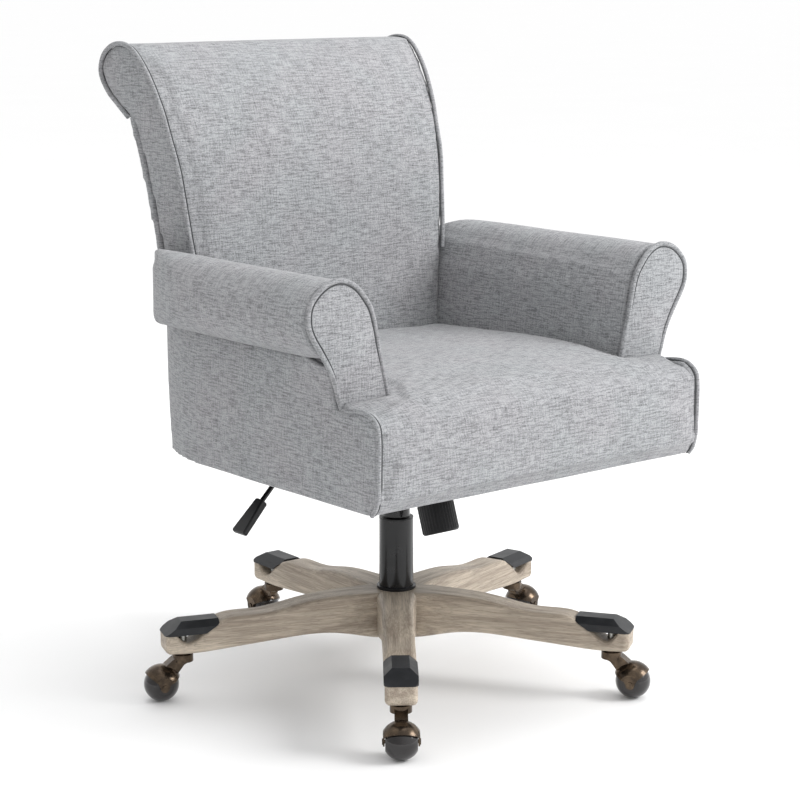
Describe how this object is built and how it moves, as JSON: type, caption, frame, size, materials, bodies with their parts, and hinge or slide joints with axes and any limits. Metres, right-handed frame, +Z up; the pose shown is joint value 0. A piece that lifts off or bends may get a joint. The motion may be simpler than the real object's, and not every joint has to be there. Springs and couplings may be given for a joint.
{
  "type": "swivel office chair",
  "caption": "Upholstered swivel desk chair with rolled arms and a scrolled back on a wooden star base with ball casters, gas height lift and tilt.",
  "frame": {"origin": "on the floor under the swivel axis, the caster wheels resting on z = 0", "axes": "+Z up along the swivel axis, the sitter faces -Y, +X is to the sitter's left"},
  "size_m": [0.722, 0.6978, 0.918],
  "materials": {
    "upholstery": "heathered chenille weave",
    "oak": "grey-washed oak, satin",
    "bronze": "dark bronze, glossy",
    "black_steel": "black powder coat, semi-gloss",
    "bright_steel": "ground steel",
    "zinc_steel": "zinc plated",
    "cap_plastic": "charcoal, satin",
    "black_plastic": "black, satin",
    "wheel_plastic": "very dark brown, glossy",
    "nylon": "natural nylon",
    "frame_wood": "plain hardwood and plywood",
    "liner": "black nonwoven"
  },
  "bodies": {
    "base": {"leg_1": "oak", "leg_2": "oak", "leg_3": "oak", "leg_4": "oak", "leg_5": "oak", "foot_pads": "cap_plastic", "hub_socket": "black_steel", "steel_arms": "black_steel", "leg_screws": "black_steel", "column_collar": "black_plastic", "caster_sleeves": "zinc_steel", "caster_stems": "zinc_steel", "lift_outer_tube": "black_steel", "lift_guide_bush": "black_plastic", "lift_thrust_bearing": "bright_steel"},
    "lift_rod": {"lift_piston_rod": "bright_steel", "lift_retaining_clip": "bright_steel"},
    "lift": {"lift_inner_cylinder": "black_steel", "tilt_housing": "black_steel", "pivot_bushes": "nylon", "torsion_springs": "black_steel"},
    "valve": {"lift_valve_pin": "bright_steel"},
    "tension_knob": {"tension_knob": "black_plastic", "tension_screw": "zinc_steel"},
    "tension_nut": {"tension_nut": "black_steel"},
    "lever_bush": {"lever_bush": "nylon"},
    "lever": {"lever_rod": "black_steel", "lever_grip": "black_plastic"},
    "seat": {"tilt_plate": "black_steel", "pivot_shaft": "bright_steel", "seat_bolts": "zinc_steel", "dust_cover": "liner", "seat_frame": "frame_wood", "seat_deck": "frame_wood", "seat_cushion": "upholstery", "side_panel_left": "upholstery", "side_panel_right": "upholstery", "arm_boards": "frame_wood", "arm_pad_left": "upholstery", "arm_pad_right": "upholstery", "arm_front_panels": "upholstery", "back_frame": "frame_wood", "back_bolts": "zinc_steel", "back_cushion": "upholstery", "back_outer_panel": "upholstery"},
    "caster_1": {"caster_hood_1": "bronze", "caster_axle_1": "bronze"},
    "wheel_1": {"caster_wheel_1": "wheel_plastic"},
    "caster_2": {"caster_hood_2": "bronze", "caster_axle_2": "bronze"},
    "wheel_2": {"caster_wheel_2": "wheel_plastic"},
    "caster_3": {"caster_hood_3": "bronze", "caster_axle_3": "bronze"},
    "wheel_3": {"caster_wheel_3": "wheel_plastic"},
    "caster_4": {"caster_hood_4": "bronze", "caster_axle_4": "bronze"},
    "wheel_4": {"caster_wheel_4": "wheel_plastic"},
    "caster_5": {"caster_hood_5": "bronze", "caster_axle_5": "bronze"},
    "wheel_5": {"caster_wheel_5": "wheel_plastic"}
  },
  "joints": [
    {"name": "seat_swivel", "type": "hinge", "parent": "base", "child": "lift_rod", "pos_m": [0, 0, 0.063], "axis": [0, 0, 1], "continuous": true},
    {"name": "seat_height", "type": "slide", "parent": "lift_rod", "child": "lift", "axis": [0, 0, 1], "range_m": [0, 0.08]},
    {"name": "recline", "type": "hinge", "parent": "lift", "child": "seat", "pos_m": [0, 0.04, 0.316], "axis": [-1, 0, 0], "range_deg": [0, 15], "stiffness_Nm_per_rad": 60, "springref_deg": -34.38},
    {"name": "tension_turn", "type": "hinge", "parent": "lift", "child": "tension_knob", "pos_m": [0, -0.101, 0.236], "axis": [0, 0.3256, 0.9455], "range_deg": [0, 1455]},
    {"name": "tension_nut_slide", "type": "slide", "parent": "lift", "child": "tension_nut", "axis": [0, 0.3256, 0.9455], "range_m": [0, 0.008], "deforming": ["torsion_springs"]},
    {"name": "lever_lift", "type": "hinge", "parent": "lift", "child": "lever_bush", "pos_m": [-0.0605, 0, 0.312], "axis": [0, 1, 0], "range_deg": [0, 5], "stiffness_Nm_per_rad": 3, "springref_deg": -20.05},
    {"name": "lever_lock", "type": "slide", "parent": "lever_bush", "child": "lever", "axis": [-1, 0, 0], "range_m": [0, 0.012]},
    {"name": "valve_press", "type": "slide", "parent": "lift", "child": "valve", "axis": [0, 0, 1], "range_m": [-0.0056, 0]},
    {"name": "caster_swivel_1", "type": "hinge", "parent": "base", "child": "caster_1", "pos_m": [-0.20001, -0.25235, 0.06], "axis": [0, 0, 1], "continuous": true},
    {"name": "wheel_spin_1", "type": "hinge", "parent": "caster_1", "child": "wheel_1", "pos_m": [-0.21964, -0.27711, 0.025], "axis": [0.7837, -0.6211, 0], "continuous": true},
    {"name": "caster_swivel_2", "type": "hinge", "parent": "base", "child": "caster_2", "pos_m": [0.17819, -0.2682, 0.06], "axis": [0, 0, 1], "continuous": true},
    {"name": "wheel_spin_2", "type": "hinge", "parent": "caster_2", "child": "wheel_2", "pos_m": [0.19568, -0.29452, 0.025], "axis": [0.8329, 0.5534, 0], "continuous": true},
    {"name": "caster_swivel_3", "type": "hinge", "parent": "base", "child": "caster_3", "pos_m": [0.31014, 0.08659, 0.06], "axis": [0, 0, 1], "continuous": true},
    {"name": "wheel_spin_3", "type": "hinge", "parent": "caster_3", "child": "wheel_3", "pos_m": [0.34057, 0.09509, 0.025], "axis": [-0.2689, 0.9632, 0], "continuous": true},
    {"name": "caster_swivel_4", "type": "hinge", "parent": "base", "child": "caster_4", "pos_m": [0.01348, 0.32172, 0.06], "axis": [0, 0, 1], "continuous": true},
    {"name": "wheel_spin_4", "type": "hinge", "parent": "caster_4", "child": "wheel_4", "pos_m": [0.01481, 0.35329, 0.025], "axis": [-0.9991, 0.0419, 0], "continuous": true},
    {"name": "caster_swivel_5", "type": "hinge", "parent": "base", "child": "caster_5", "pos_m": [-0.3018, 0.11224, 0.06], "axis": [0, 0, 1], "continuous": true},
    {"name": "wheel_spin_5", "type": "hinge", "parent": "caster_5", "child": "wheel_5", "pos_m": [-0.33142, 0.12326, 0.025], "axis": [-0.3486, -0.9373, 0], "continuous": true}
  ],
  "couplings": [
    {"joint": "tension_turn", "follows": "tension_nut_slide", "rad_per_m": 3141.6},
    {"joint": "valve_press", "follows": "lever_lift", "m_per_rad": -0.0605}
  ]
}
